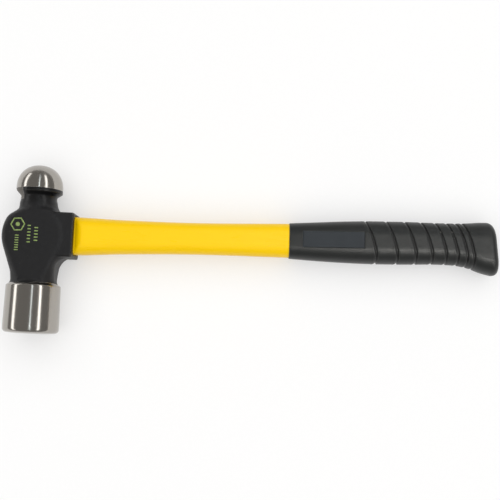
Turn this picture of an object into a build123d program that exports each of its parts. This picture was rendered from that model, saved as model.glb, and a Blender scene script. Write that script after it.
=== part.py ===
from build123d import *

import os
from math import cos, radians, sin

# Ball peen hammer, 40 oz: a forged steel head bonded on a fibreglass handle with a rubber grip.
# Millimetres. The hammer lies on its cheek: +X runs along the handle from the head to the butt,
# +Y along the head from the striking face to the ball, and +Z is up, square to the cheeks.
# The origin is in the plane that the poll rests on, under the middle of the overall box.

os.makedirs("parts", exist_ok=True)

# Overall
overall_length = 394.0
head_length = 135.0

# Turned shape of the head, as radii and heights above the striking face
poll_radius = 22.1
poll_straight = 10.0
poll_top_radius = 21.5
face_flat_radius = 12.5
face_crown = 0.9
face_edge_round = 3.6
poll_top = 39.4
poll_top_round = 0.8
shoulder_top = 44.8
neck_radius = 13.9
neck_height = 106.4
cove_radius = 8.4
cove_start = 180.0
cove_turn = -25.0
ball_radius = 18.4
ball_crown = 18.7
ball_shoulder = 13.5
lip_height = 112.5
lip_round = 1.2

# Cheeks: flats with a disc and a tongue, bevelled all round
cheek_half = 16.0
bevel_angle = 45.0
disc_radius = 22.3
disc_height = 77.4
tongue_half = 9.5
tongue_foot = 42.7
front_radius = 31.0
front_height = 77.6
front_reach = 25.6
waist_half = 17.4
waist_top = 48.5
cheek_top = 105.4

# Collar, the block that the handle enters
collar_end = 31.4
collar_half = 15.0
collar_bottom = 61.2
collar_top = 96.9
collar_corner = 2.3
collar_rim_round = 0.8
gusset_reach = 29.8
gusset_radius = 11.0

# Eye, the oval hole through the head, and what fills it
eye_width = 30.0
eye_thickness = 16.4
eye_corner = 4.0
eye_flare = 2.5
eye_waist_depth = 25.0
spigot_depth = 7.0
seal_depth = 3.0
core_front_cover = 2.4

# Handle: its line leaves the collar at this height and leans a little toward the ball
handle_height = 79.1
handle_lean = 1.4
core_width = 20.0
core_thickness = 10.4
core_corner = 5.0
core_end_cover = 7.0
jacket_start = 0.8
sleeve_width = 25.0
sleeve_thickness = 17.6
butt_cover = 15.5
grip_start = 170.6
corner_share = 0.46

# Jacket sections: distance from the collar, width, thickness
jacket_sections = [
    (6.8, 30.2, 23.6),
    (41.0, 27.2, 22.0),
    (97.0, 25.3, 20.8),
    (grip_start, 27.2, 21.8),
]

# Grip sections: distance from the collar, reach to the ball's side, reach to the face's side,
# thickness
grip_sections = [
    (grip_start, 14.0, 14.4, 22.6),
    (193.0, 15.2, 15.8, 24.4),
    (216.0, 16.4, 16.8, 26.2),
    (240.0, 17.0, 17.3, 27.0),
    (264.0, 17.0, 17.1, 26.8),
    (287.0, 16.6, 16.6, 26.3),
    (301.5, 16.5, 17.0, 26.4),
    (313.0, 16.9, 19.0, 27.2),
    (324.0, 17.6, 22.9, 28.7),
]
butt_section = (17.7, 25.8, 29.6)
butt_setback = 0.98
butt_lean = 5.0
butt_round = 6.0

# Ring grooves: place of the first, spacing to the next, and how much closer each later one is
groove_count = 8
groove_first = 230.1
groove_spacing = 16.7
groove_closing = 1.9
groove_width = 1.5
groove_depth = 1.2
groove_span = 23.5
groove_run = (-3.2, 6.5, 8.3)

# Panel set in the side of the grip
panel_start = 181.2
panel_length = 48.9
panel_width = 13.0
panel_shift = 0.6
panel_thickness = 0.8
panel_level = 12.1
panel_rise_angle = 1.9

# Places of the head and the handle in the frame
mid_height = poll_radius
head_x = front_reach - overall_length / 2
face_y = -head_length / 2
ball_centre = head_length - ball_crown
collar_width = collar_top - collar_bottom
collar_middle = (collar_top + collar_bottom) / 2
handle_length = overall_length - front_reach - collar_end
eye_depth = front_reach + collar_end
fill_depth = spigot_depth + seal_depth
core_front = core_front_cover - eye_depth
jacket_end = handle_length - butt_cover
core_end = jacket_end - core_end_cover
lean = radians(handle_lean)

head_side = Plane(origin=(head_x, face_y, mid_height), x_dir=(1, 0, 0), z_dir=(0, 0, 1))
head_axis = Axis((head_x, face_y, mid_height), (0, 1, 0))
head_section = Plane(origin=(head_x, face_y, mid_height), x_dir=(0, 1, 0), z_dir=(1, 0, 0))
handle_origin = (head_x + collar_end, face_y + handle_height, mid_height)
handle_plane = Plane(
    origin=handle_origin,
    x_dir=(-sin(lean), cos(lean), 0),
    z_dir=(cos(lean), sin(lean), 0),
)
handle_side = Plane(origin=handle_origin, x_dir=(cos(lean), sin(lean), 0), z_dir=(0, 0, 1))


def oval(width, thickness, shift=0.0):
    """Draws the handle's section, a rectangle with large round corners, in the open sketch."""
    with Locations((shift, 0)):
        RectangleRounded(width, thickness, corner_share * min(width, thickness))


# ------------------------------------------------------------- head: poll, neck and ball, turned
with BuildPart() as turned:
    with BuildSketch(head_side) as profile:
        with BuildLine():
            flat = Line((0, 0), (face_flat_radius, 0))
            crown = TangentArc(flat @ 1, (poll_radius, face_crown), tangent=(1, 0))
            barrel = Line(crown @ 1, (poll_radius, poll_straight))
            upper_barrel = Line(barrel @ 1, (poll_top_radius, poll_top))
            shoulder = Line(upper_barrel @ 1, (neck_radius, shoulder_top))
            neck = Line(shoulder @ 1, (neck_radius, neck_height))
            cove = CenterArc(
                (neck_radius + cove_radius, neck_height), cove_radius, cove_start, cove_turn
            )
            lip = Line(cove @ 1, (ball_radius, lip_height))
            side = Line(lip @ 1, (ball_radius, ball_centre))
            ball = Spline(
                (ball_radius, ball_centre),
                (ball_shoulder, ball_centre + ball_shoulder),
                (0, head_length),
                tangents=[(0, 1), (-1, 0)],
            )
            Line(ball @ 1, (0, 0))
        make_face()
        fillet(profile.vertices().sort_by_distance((poll_radius, face_crown))[0], face_edge_round)
        fillet(profile.vertices().sort_by_distance((poll_top_radius, poll_top))[0], poll_top_round)
        fillet(profile.vertices().sort_by_distance((ball_radius, lip_height))[0], lip_round)
    revolve(axis=head_axis)

# ------------------------------------------------------------- head: collar, then cheeks
with BuildPart() as collar:
    with BuildSketch(head_section):
        with Locations((collar_middle, 0)):
            RectangleRounded(collar_width, 2 * collar_half, collar_corner)
    extrude(amount=collar_end)
    fillet(collar.faces().sort_by(Axis.X)[-1].outer_wire().edges(), collar_rim_round)

with BuildPart() as cheeks:
    with BuildSketch(head_side.offset(cheek_half)):
        with BuildLine():
            CenterArc((0, disc_height), disc_radius, 0, 360)
            Line((-tongue_half, tongue_foot), (tongue_half, tongue_foot))
        make_hull()
    extrude(amount=-cheek_half, taper=-bevel_angle)
    mirror(about=head_side)
    with BuildSketch(head_side) as outline:
        with BuildLine():
            CenterArc((front_radius - front_reach, front_height), front_radius, 0, 360)
            Line((-waist_half, waist_top), (waist_half, waist_top))
        make_hull()
        with Locations((waist_half, 0)):
            Rectangle(
                overall_length,
                overall_length,
                align=(Align.MIN, Align.CENTER),
                mode=Mode.SUBTRACT,
            )
        with Locations((0, cheek_top)):
            Rectangle(
                overall_length,
                overall_length,
                align=(Align.CENTER, Align.MIN),
                mode=Mode.SUBTRACT,
            )
        with Locations((0, waist_top)):
            Rectangle(2 * waist_half, 2 * (waist_top - poll_top))
        with Locations((0, collar_bottom)):
            Rectangle(gusset_reach, collar_width, align=(Align.MIN, Align.MIN))
        fillet(
            outline.vertices().sort_by_distance((waist_half, collar_bottom))[0],
            gusset_radius,
        )
    extrude(amount=cheek_half, both=True, mode=Mode.INTERSECT)
    add(collar.part)
    with BuildSketch(head_side):
        with Locations((neck_radius + cove_radius, neck_height)):
            Circle(cove_radius)
            Rectangle(
                overall_length,
                2 * cove_radius,
                align=(Align.MIN, Align.CENTER),
            )
    revolve(axis=head_axis, mode=Mode.SUBTRACT)

# ------------------------------------------------------------- eye, wider toward the front
with BuildPart() as eye:
    with BuildSketch(handle_plane.offset(-eye_waist_depth)):
        RectangleRounded(eye_width, eye_thickness, eye_corner)
    extrude(amount=eye_waist_depth + collar_end)
    with BuildSketch(handle_plane.offset(-eye_waist_depth)):
        RectangleRounded(eye_width, eye_thickness, eye_corner)
    with BuildSketch(handle_plane.offset(-eye_depth - front_radius)):
        RectangleRounded(eye_width + 2 * eye_flare, eye_thickness + 2 * eye_flare, eye_corner)
    loft()

with BuildPart() as blank:
    add(turned.part)
    add(cheeks.part)

with BuildPart() as head:
    add(blank.part)
    add(eye.part, mode=Mode.SUBTRACT)

# ------------------------------------------------------------- core, and what holds it in the eye
with BuildPart() as handle_core:
    with BuildSketch(handle_plane.offset(core_front)):
        RectangleRounded(core_width, core_thickness, core_corner)
    extrude(amount=core_end - core_front)

with BuildPart() as eye_epoxy:
    add(blank.part)
    add(eye.part, mode=Mode.INTERSECT)
    split(bisect_by=handle_plane.offset(-fill_depth), keep=Keep.BOTTOM)
    add(handle_core.part, mode=Mode.SUBTRACT)

with BuildPart() as eye_seal:
    with BuildSketch(handle_plane.offset(-fill_depth)):
        RectangleRounded(eye_width, eye_thickness, eye_corner)
        RectangleRounded(core_width, core_thickness, core_corner, mode=Mode.SUBTRACT)
    extrude(amount=seal_depth)

# ------------------------------------------------------------- jacket
with BuildPart() as handle_jacket:
    with BuildSketch(handle_plane.offset(-spigot_depth)):
        RectangleRounded(eye_width, eye_thickness, eye_corner)
    extrude(amount=spigot_depth + jacket_start)
    shoulder_distance, shoulder_width, shoulder_thickness = jacket_sections[0]
    with BuildSketch(handle_plane.offset(jacket_start)):
        RectangleRounded(eye_width, eye_thickness, eye_corner)
    with BuildSketch(handle_plane.offset(shoulder_distance)):
        oval(shoulder_width, shoulder_thickness)
    loft()
    for distance, width, thickness in jacket_sections:
        with BuildSketch(handle_plane.offset(distance)):
            oval(width, thickness)
    loft()
    with BuildSketch(handle_plane.offset(grip_start)):
        oval(sleeve_width, sleeve_thickness)
    extrude(amount=jacket_end - grip_start)
    add(handle_core.part, mode=Mode.SUBTRACT)

# ------------------------------------------------------------- grip
butt_plane = handle_plane.offset(handle_length - butt_setback).rotated((0, butt_lean, 0))


def grip_outlines(inset):
    """Gives the sections of the grip's outer shape, moved inward by the inset."""
    places = [(handle_plane.offset(distance), *reach) for distance, *reach in grip_sections]
    places.append((butt_plane, *butt_section))
    outlines = []
    for plane, ball_reach, face_reach, thickness in places:
        with BuildSketch(plane) as outline_sketch:
            oval(
                ball_reach + face_reach - 2 * inset,
                thickness - 2 * inset,
                (ball_reach - face_reach) / 2,
            )
        outlines.append(outline_sketch.sketch)
    return outlines


with BuildPart() as groove_floor:
    loft(grip_outlines(groove_depth))

with BuildPart() as grooves:
    for number in range(groove_count):
        notch = groove_first + number * groove_spacing
        notch -= groove_closing * number * (number - 1) / 2
        with BuildSketch(handle_side):
            with BuildLine():
                near = ThreePointArc(
                    (notch + groove_run[0], groove_span),
                    (notch + groove_run[1], 0),
                    (notch + groove_run[2], -groove_span),
                )
                far = ThreePointArc(
                    (notch + groove_run[0] + groove_width, groove_span),
                    (notch + groove_run[1] + groove_width, 0),
                    (notch + groove_run[2] + groove_width, -groove_span),
                )
                Line(near @ 0, far @ 0)
                Line(near @ 1, far @ 1)
            make_face()
        extrude(amount=groove_span, both=True)
    add(groove_floor.part, mode=Mode.SUBTRACT)

panel_middle = panel_start + panel_length / 2
panel_plane = Plane(
    origin=handle_side.from_local_coords((panel_middle, panel_shift, panel_level)),
    x_dir=handle_side.x_dir,
    z_dir=(0, 0, 1),
).rotated((0, -panel_rise_angle, 0))

with BuildPart() as grip_panel:
    with BuildSketch(panel_plane):
        Rectangle(panel_length, panel_width)
    extrude(amount=-panel_thickness)

with BuildPart() as panel_pocket:
    with BuildSketch(panel_plane.offset(-panel_thickness)):
        Rectangle(panel_length, panel_width)
    extrude(amount=panel_level)

with BuildPart() as grip:
    loft(grip_outlines(0))
    butt_rim = grip.faces().sort_by(Axis.X)[-1].outer_wire().edges()
    fillet(butt_rim, butt_round)
    add(grooves.part, mode=Mode.SUBTRACT)
    add(panel_pocket.part, mode=Mode.SUBTRACT)
    add(handle_jacket.part, mode=Mode.SUBTRACT)
    add(handle_core.part, mode=Mode.SUBTRACT)

pieces = {
    "head": head,
    "handle_core": handle_core,
    "eye_epoxy": eye_epoxy,
    "eye_seal": eye_seal,
    "handle_jacket": handle_jacket,
    "grip": grip,
    "grip_panel": grip_panel,
}
for name, piece in pieces.items():
    piece.part.label = name
    export_step(piece.part, f"parts/{name}.step")
    print(name, round(piece.part.volume), len(piece.part.solids()), piece.part.bounding_box())
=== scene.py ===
"""Ball peen hammer with a fibreglass handle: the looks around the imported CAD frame.

Metres, in the row frame: +X along the handle from the head to the butt, +Y along the head from the
striking face to the ball, and +Z up, square to the cheeks.
"""

import math

import bpy
import numpy as np
from mathutils import Matrix, Vector


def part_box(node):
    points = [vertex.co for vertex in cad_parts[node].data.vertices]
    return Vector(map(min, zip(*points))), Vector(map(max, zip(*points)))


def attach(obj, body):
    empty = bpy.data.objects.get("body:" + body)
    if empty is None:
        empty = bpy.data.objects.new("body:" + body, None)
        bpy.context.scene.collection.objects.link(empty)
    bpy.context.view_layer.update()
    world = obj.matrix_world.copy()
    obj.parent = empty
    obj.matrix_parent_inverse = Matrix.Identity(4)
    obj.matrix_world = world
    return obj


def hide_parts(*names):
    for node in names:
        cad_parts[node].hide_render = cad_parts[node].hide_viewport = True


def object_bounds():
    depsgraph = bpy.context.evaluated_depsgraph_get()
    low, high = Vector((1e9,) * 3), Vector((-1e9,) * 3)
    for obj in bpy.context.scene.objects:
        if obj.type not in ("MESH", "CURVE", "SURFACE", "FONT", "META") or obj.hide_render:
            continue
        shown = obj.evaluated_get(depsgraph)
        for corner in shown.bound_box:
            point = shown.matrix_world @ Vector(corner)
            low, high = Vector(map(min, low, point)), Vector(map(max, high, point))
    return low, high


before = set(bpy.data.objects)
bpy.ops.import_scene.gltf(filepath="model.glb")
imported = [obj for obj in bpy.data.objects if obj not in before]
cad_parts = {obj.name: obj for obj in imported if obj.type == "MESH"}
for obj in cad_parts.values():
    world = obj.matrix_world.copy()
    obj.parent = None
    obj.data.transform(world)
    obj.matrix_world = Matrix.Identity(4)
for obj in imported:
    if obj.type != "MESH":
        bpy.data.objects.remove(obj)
cad_low, cad_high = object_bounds()

# Head, turned shape: radii and heights above the striking face
POLL_RADIUS = 0.0221
POLL_STRAIGHT = 0.010
POLL_TOP_RADIUS = 0.0215
FACE_FLAT_RADIUS = 0.0125
FACE_CROWN = 0.0009
FACE_CROWN_ROUND = 0.045
FACE_EDGE_ROUND = 0.0032
POLL_TOP = 0.0380
CHAMFER_TOP = 0.0404
CHAMFER_RADIUS = 0.0180
SHOULDER_TOP = 0.0448
NECK_RADIUS = 0.0139
NECK_HEIGHT = 0.1064
COVE_RADIUS = 0.0084
COVE_TURN = 25.0
BALL_RADIUS = 0.0184
BALL_CROWN = 0.0187
BALL_FULLNESS = 2.18
LIP_HEIGHT = 0.1125
LIP_ROUND = 0.0012
LIP_TRIM_SLOPE = (-0.805, -0.593)
LIP_TRIM_HEIGHT = 0.1155
LIP_TRIM_FOOT = 0.1088
HEAD_LENGTH = 0.135

# Head, where the paint ends
POLL_LINE = 0.0398
BALL_LINE = 0.1150
POLL_CLEARANCE = 0.0004
BALL_CLEARANCE = 0.0005
STRIP_EDGE = -0.0098
STRIP_FOOT = 0.1065

# Head, cheeks
CHEEK_HALF = 0.016
DISC_RADIUS = 0.0223
DISC_HEIGHT = 0.0774
TONGUE_HALF = 0.0095
TONGUE_FOOT = 0.0427
FRONT_RADIUS = 0.031
FRONT_HEIGHT = 0.0776
FRONT_REACH = 0.0256
WAIST_HALF = 0.0174
WAIST_TOP = 0.0485
CHEEK_TOP = 0.1054
CHEEK_EDGE_ROUND = 0.0016
FRONT_EDGE_ROUND = 0.002
SIDE_EDGE_ROUND = 0.0032
HOLLOW_ROUND = 0.0030
FRONT_HOLLOW_GROWTH = 0.0050
FRONT_HOLLOW_REACH = 0.016
NECK_BLEND = 0.0020
NECK_BLEND_START = 0.098
NECK_BLEND_SPAN = 0.006
NECK_BLEND_GROWTH = 0.002
FRONT_NECK_BLEND_GROWTH = 0.004

# Head, collar and eye
SMALL_ROUND = 0.001
COLLAR_END = 0.0314
COLLAR_HALF = 0.015
COLLAR_BOTTOM = 0.0612
COLLAR_TOP = 0.0969
COLLAR_CORNER = 0.0023
COLLAR_RIM_ROUND = 0.0014
GUSSET_REACH = 0.0298
GUSSET_RADIUS = 0.011
EYE_WIDTH = 0.030
EYE_THICKNESS = 0.0164
EYE_CORNER = 0.0040
EYE_FLARE = 0.0025
EYE_RIM_ROUND = 0.0014
EYE_WAIST_DEPTH = 0.025
SPIGOT_DEPTH = 0.007
FILL_DEPTH = 0.010
CORE_FRONT_COVER = 0.0027
EPOXY_GAP = 0.00006
EPOXY_BODY_COVER = 0.007
EPOXY_RIM_COVER = 0.003
EPOXY_SINK = 0.0004
EPOXY_CREEP = 0.0002
EPOXY_WAVE = 0.00008

# Handle: distances are measured along it from the collar's end
HANDLE_HEIGHT = 0.0791
HANDLE_LEAN = math.radians(1.4)
CORE_SECTION = (0.010, 0.010, 0.0104, 0.005)
CORE_END_COVER = 0.007
JACKET_START = 0.0008
SHOULDER_END = 0.0068
SPIGOT_CLEARANCE = 0.00005
SPIGOT_EDGE = 0.0004
SHOULDER_HOLLOW = 0.06
SHOULDER_SWELL = 0.00006
SHOULDER_SWELL_SPAN = 0.0012
SLEEVE_WIDTH = 0.025
SLEEVE_THICKNESS = 0.0176
BUTT_COVER = 0.0155
GRIP_START = 0.1706
GRIP_EDGE = ((0, 0.0008), (0.00012, 0.0003), (0.0004, 0.00008), (0.0009, 0))  # distance, inset
CORNER_SHARE = 0.46
GRIP_SECTIONS = [  # distance, reach to the ball's side, reach to the face's side, thickness
    (GRIP_START, 0.0140, 0.0144, 0.0226),
    (0.193, 0.0152, 0.0158, 0.0244),
    (0.216, 0.0164, 0.0168, 0.0262),
    (0.240, 0.0170, 0.0173, 0.0270),
    (0.264, 0.0170, 0.0171, 0.0268),
    (0.287, 0.0166, 0.0166, 0.0263),
    (0.3015, 0.0165, 0.0170, 0.0264),
    (0.313, 0.0169, 0.0190, 0.0272),
    (0.324, 0.0176, 0.0229, 0.0287),
    (0.3360, 0.0177, 0.0258, 0.0296),
]
JACKET_SECTIONS = [  # the same columns as the grip's
    (SHOULDER_END, 0.0151, 0.0151, 0.0236),
    (0.041, 0.0136, 0.0136, 0.0220),
    (0.097, 0.01265, 0.01265, 0.0208),
    (GRIP_START, 0.0136, 0.0136, 0.0218),
]
BUTT_LEAN = math.radians(5.0)
BUTT_LEAN_ROOM = 0.0016
BUTT_ROUND = 0.006
BUTT_DOME = 0.0004
GROOVE_COUNT = 8
GROOVE_FIRST = 0.2301
GROOVE_SPACING = 0.0167
GROOVE_CLOSING = 0.0019
GROOVE_WIDTH = 0.0015
GROOVE_BEND = (0.0065, -0.2933, -3.84, 133, -11600)  # shares of the powers of the place across
GROOVE_FACE_SPAN = 0.017
GROOVE_ROWS_START = 0.0026
GROOVE_AHEAD = 0.005
GROOVE_START_EDGE = (  # distance from the notch, and depth: the land swells, then drops
    (-0.0024, -0.00002), (-0.0020, -0.00007), (-0.0016, -0.00008), (-0.0012, -0.00002),
    (-0.0008, 0.0001), (-0.00045, 0.00024), (-0.0002, 0.00038), (-0.00006, 0.00055),
    (0.00002, 0.0008), (0.0001, 0.00105), (0.00026, 0.0012),
)
GROOVE_END_EDGE = (
    (-0.00026, 0.0012), (-0.0001, 0.00105), (-0.00002, 0.0007), (0.00006, 0.00038),
    (0.0002, 0.00017), (0.00042, 0.00005), (0.00075, 0),
)
PANEL_START = 0.1812
PANEL_LENGTH = 0.0489
PANEL_WIDTH = 0.0130
PANEL_SHIFT = 0.0006
PANEL_THICKNESS = 0.0008
PANEL_LEVEL = 0.0121
PANEL_RISE = math.radians(1.9)
PANEL_GAP = 0.00008
PANEL_CORNER = 0.0006
PANEL_EDGE_ROUND = 0.00035
POCKET_RIM = 0.00035
POCKET_RIM_DROP = 0.00012

# Meshes: cell sizes, counts of rows, and small gaps
SHOULDER_ROWS = 15
WAIST_ROWS = 92
SLEEVE_ROWS = 16
LEAD_ROWS = 9
PANEL_ROWS = 40
FIRST_LAND_ROWS = 7
LAND_ROWS = 14
BUTT_ROWS = 22
ROUND_ROWS = 15
EDGE_ROWS = (-0.0004, -0.0002, -0.00008, 0, 0.00008, 0.0002, 0.0004)
EDGE_GAP = 0.0012
CELL = 0.00056
HEAD_MARGIN = 0.0012
PRINT_THICKNESS = 0.00005

# Places, from the frame
head_low, head_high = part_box("head")
HEAD_X = head_low.x + FRONT_REACH
FACE_Y = head_low.y
MIDDLE_Z = (head_low.z + head_high.z) / 2
HANDLE_LENGTH = cad_high.x - HEAD_X - COLLAR_END
EYE_DEPTH = FRONT_REACH + COLLAR_END
HANDLE_ORIGIN = np.array([HEAD_X + COLLAR_END, FACE_Y + HANDLE_HEIGHT, MIDDLE_Z])
ALONG = np.array([math.cos(HANDLE_LEAN), math.sin(HANDLE_LEAN), 0.0])
ACROSS = np.array([-math.sin(HANDLE_LEAN), math.cos(HANDLE_LEAN), 0.0])
UP = np.array([0.0, 0.0, 1.0])


# ---------- outlines and distances
def arc(centre, radius, start, end, step=1.0):
    """Points round an arc, from one angle to the other, in degrees."""
    angles = np.radians(np.linspace(start, end, int(abs(end - start) / step) + 2))
    return np.stack([centre[0] + radius * np.cos(angles), centre[1] + radius * np.sin(angles)], 1)


def rounded(corners):
    """A closed outline through the corners (x, y, round), with each corner rounded off."""
    points = []
    for i, (x, y, radius) in enumerate(corners):
        here = np.array([x, y])
        if radius == 0:
            points.append(here[None])
            continue
        before = np.array(corners[i - 1][:2]) - here
        after = np.array(corners[(i + 1) % len(corners)][:2]) - here
        before /= np.linalg.norm(before)
        after /= np.linalg.norm(after)
        half = math.acos(float(np.clip(before @ after, -1, 1))) / 2
        middle = here + (before + after) / np.linalg.norm(before + after) * radius / math.sin(half)
        first = here + before * radius / math.tan(half) - middle
        last = here + after * radius / math.tan(half) - middle
        turn = math.atan2(first[0] * last[1] - first[1] * last[0], first @ last)
        start = math.degrees(math.atan2(first[1], first[0]))
        points.append(arc(middle, radius, start, start + math.degrees(turn), 3.0))
    return np.concatenate(points)


def hull(points):
    """The convex outline round the points."""
    ordered = sorted(map(tuple, points))

    def half(sequence):
        chain = []
        for p in sequence:
            while len(chain) > 1:
                a, b = chain[-2], chain[-1]
                if (b[0] - a[0]) * (p[1] - a[1]) > (b[1] - a[1]) * (p[0] - a[0]):
                    break
                chain.pop()
            chain.append(p)
        return chain[:-1]

    return np.array(half(ordered) + half(ordered[::-1]))


class Outline:
    """Signed distance to a closed outline, negative inside, kept on a fine grid."""

    STEP = 0.00025
    MARGIN = 0.012

    def __init__(self, points):
        self.low = points.min(0) - self.MARGIN
        self.shape = ((points.max(0) + self.MARGIN - self.low) / self.STEP).astype(int) + 2
        x = self.low[0] + self.STEP * np.arange(self.shape[0])[:, None]
        y = self.low[1] + self.STEP * np.arange(self.shape[1])[None, :]
        nearest = np.full(self.shape, np.inf)
        inside = np.zeros(self.shape, bool)
        for (ax, ay), (bx, by) in zip(points, np.roll(points, -1, axis=0)):
            ex, ey = bx - ax, by - ay
            share = np.clip(((x - ax) * ex + (y - ay) * ey) / max(ex * ex + ey * ey, 1e-18), 0, 1)
            nearest = np.minimum(nearest, (x - ax - share * ex) ** 2 + (y - ay - share * ey) ** 2)
            if by != ay:
                inside ^= ((ay > y) != (by > y)) & (x < ex * (y - ay) / ey + ax)
        self.values = np.where(inside, -1.0, 1.0) * np.sqrt(nearest)

    def __call__(self, x, y):
        i = np.clip((x - self.low[0]) / self.STEP, 0, self.shape[0] - 1.001)
        j = np.clip((y - self.low[1]) / self.STEP, 0, self.shape[1] - 1.001)
        i0, j0 = i.astype(int), j.astype(int)
        i, j = i - i0, j - j0
        v = self.values
        return (v[i0, j0] * (1 - i) + v[i0 + 1, j0] * i) * (1 - j) + (
            v[i0, j0 + 1] * (1 - i) + v[i0 + 1, j0 + 1] * i
        ) * j


def smooth_min(a, b, blend):
    """The smaller of the two, with a rounded hollow of about this size where they meet."""
    share = np.maximum(blend - np.abs(a - b), 0) / blend
    return np.minimum(a, b) - share * share * blend / 4


def smooth_max(a, b, blend):
    """The larger of the two, with a rounded edge of about this size where they meet."""
    return -smooth_min(-a, -b, blend)


def rounded_box(x, y, half_x, half_y, corner):
    """Signed distance to a rectangle with round corners."""
    x = np.abs(x) - half_x + corner
    y = np.abs(y) - half_y + corner
    outside = np.hypot(np.maximum(x, 0), np.maximum(y, 0))
    return outside + np.minimum(np.maximum(x, y), 0) - corner


# ---------- head
def turned_outline():
    """Half of the turned shape and its mirror image: poll, shoulder, neck and ball."""
    poll = rounded(
        [
            (0, 0, 0),
            (FACE_FLAT_RADIUS, 0, FACE_CROWN_ROUND),
            (POLL_RADIUS, FACE_CROWN, FACE_EDGE_ROUND),
            (POLL_RADIUS, POLL_STRAIGHT, 0),
            (POLL_TOP_RADIUS, POLL_TOP, 0.0012),
            (CHAMFER_RADIUS, CHAMFER_TOP, 0.0008),
            (NECK_RADIUS, SHOULDER_TOP, 0.003),
            (NECK_RADIUS, NECK_HEIGHT, 0),
        ]
    )
    cove = arc((NECK_RADIUS + COVE_RADIUS, NECK_HEIGHT), COVE_RADIUS, 180, 180 - COVE_TURN)
    ball_centre = HEAD_LENGTH - BALL_CROWN
    lip = rounded(
        [
            (*cove[-1], 0),
            (BALL_RADIUS, LIP_HEIGHT, LIP_ROUND),
            (BALL_RADIUS, ball_centre, 0),
            (0, ball_centre, 0),
        ]
    )[1:-1]
    turn = np.linspace(0, math.pi / 2, 120)[1:]
    ball = np.stack(
        [
            BALL_RADIUS * np.cos(turn) ** (2 / BALL_FULLNESS),
            ball_centre + BALL_CROWN * np.sin(turn) ** (2 / BALL_FULLNESS),
        ],
        1,
    )
    half = np.concatenate([poll, cove[1:], lip, ball])
    return np.concatenate([half, half[-2:0:-1] * (-1, 1)])


def teardrop(middle, radius, half_width, foot):
    """A disc that is drawn down to a straight foot."""
    return Outline(hull([*arc(middle, radius, 0, 360), (-half_width, foot), (half_width, foot)]))


TURNED = Outline(turned_outline())
CHEEK_FLAT = teardrop((0, DISC_HEIGHT), DISC_RADIUS, TONGUE_HALF, TONGUE_FOOT)
FRONT = teardrop((FRONT_RADIUS - FRONT_REACH, FRONT_HEIGHT), FRONT_RADIUS, WAIST_HALF, WAIST_TOP)
GUSSET = Outline(
    rounded(
        [
            (-WAIST_HALF, POLL_TOP, 0),
            (WAIST_HALF, POLL_TOP, 0),
            (WAIST_HALF, COLLAR_BOTTOM, GUSSET_RADIUS),
            (GUSSET_REACH, COLLAR_BOTTOM, 0),
            (GUSSET_REACH, COLLAR_TOP, 0),
            (0, COLLAR_TOP, 0),
            (-WAIST_HALF, WAIST_TOP, 0),
        ]
    )
)


def cove_distance(radius, v):
    """Distance to the ring-shaped hollow under the ball."""
    centre = NECK_RADIUS + COVE_RADIUS
    ring = np.hypot(radius - centre, v - NECK_HEIGHT) - COVE_RADIUS
    beyond = np.maximum(np.abs(v - NECK_HEIGHT) - COVE_RADIUS, centre - radius)
    return np.minimum(ring, beyond)


def blank_distance(u, v, w):
    """Signed distance to the head without its eye. u is along the handle and v above the face."""
    radius = np.hypot(u, w)
    height = np.abs(w)
    front_side = np.clip(-u / FRONT_HOLLOW_REACH, 0, 1)
    near_neck = np.clip((v - NECK_BLEND_START) / NECK_BLEND_SPAN, 0, 1)
    bevel = (CHEEK_FLAT(u, v) + height - CHEEK_HALF) / math.sqrt(2)
    cheek = smooth_max(height - CHEEK_HALF, bevel, CHEEK_EDGE_ROUND)
    front = smooth_max(FRONT(u, v), u - WAIST_HALF, FRONT_EDGE_ROUND)
    front = smooth_max(front, v - CHEEK_TOP, FRONT_EDGE_ROUND)
    side = smooth_min(front, GUSSET(u, v), SMALL_ROUND)
    cheek = smooth_max(cheek, side, SIDE_EDGE_ROUND)
    hollow = -cove_distance(radius, v)
    cheek = smooth_max(cheek, hollow, HOLLOW_ROUND + FRONT_HOLLOW_GROWTH * front_side)
    middle = (COLLAR_TOP + COLLAR_BOTTOM) / 2
    block = rounded_box(v - middle, w, (COLLAR_TOP - COLLAR_BOTTOM) / 2, COLLAR_HALF, COLLAR_CORNER)
    block = smooth_max(block, u - COLLAR_END, COLLAR_RIM_ROUND)
    block = smooth_max(block, WAIST_HALF / 2 - u, SMALL_ROUND)
    block = smooth_max(block, hollow, HOLLOW_ROUND)
    cheek = smooth_min(cheek, block, SMALL_ROUND)
    trim_u, trim_v = LIP_TRIM_SLOPE
    trimmed = (u + BALL_RADIUS) * trim_u + (v - LIP_TRIM_HEIGHT) * trim_v
    turned = smooth_max(TURNED(radius, v), np.minimum(trimmed, v - LIP_TRIM_FOOT), SMALL_ROUND)
    growth = NECK_BLEND_GROWTH + FRONT_NECK_BLEND_GROWTH * front_side
    return smooth_min(turned, cheek, NECK_BLEND + near_neck * growth)


def eye_flare(s):
    """How much the eye has opened out toward the head's front, at a distance along the handle."""
    flare_length = EYE_DEPTH + FRONT_RADIUS - EYE_WAIST_DEPTH
    return EYE_FLARE * np.clip(-s - EYE_WAIST_DEPTH, 0, None) / flare_length


def head_distance(u, v, w):
    """Signed distance to the head, with its eye."""
    s = (u - COLLAR_END) * math.cos(HANDLE_LEAN) + (v - HANDLE_HEIGHT) * math.sin(HANDLE_LEAN)
    t = (v - HANDLE_HEIGHT) * math.cos(HANDLE_LEAN) - (u - COLLAR_END) * math.sin(HANDLE_LEAN)
    wider = eye_flare(s)
    eye = rounded_box(t, w, EYE_WIDTH / 2 + wider, EYE_THICKNESS / 2 + wider, EYE_CORNER)
    return smooth_max(blank_distance(u, v, w), -eye, EYE_RIM_ROUND)


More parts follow.
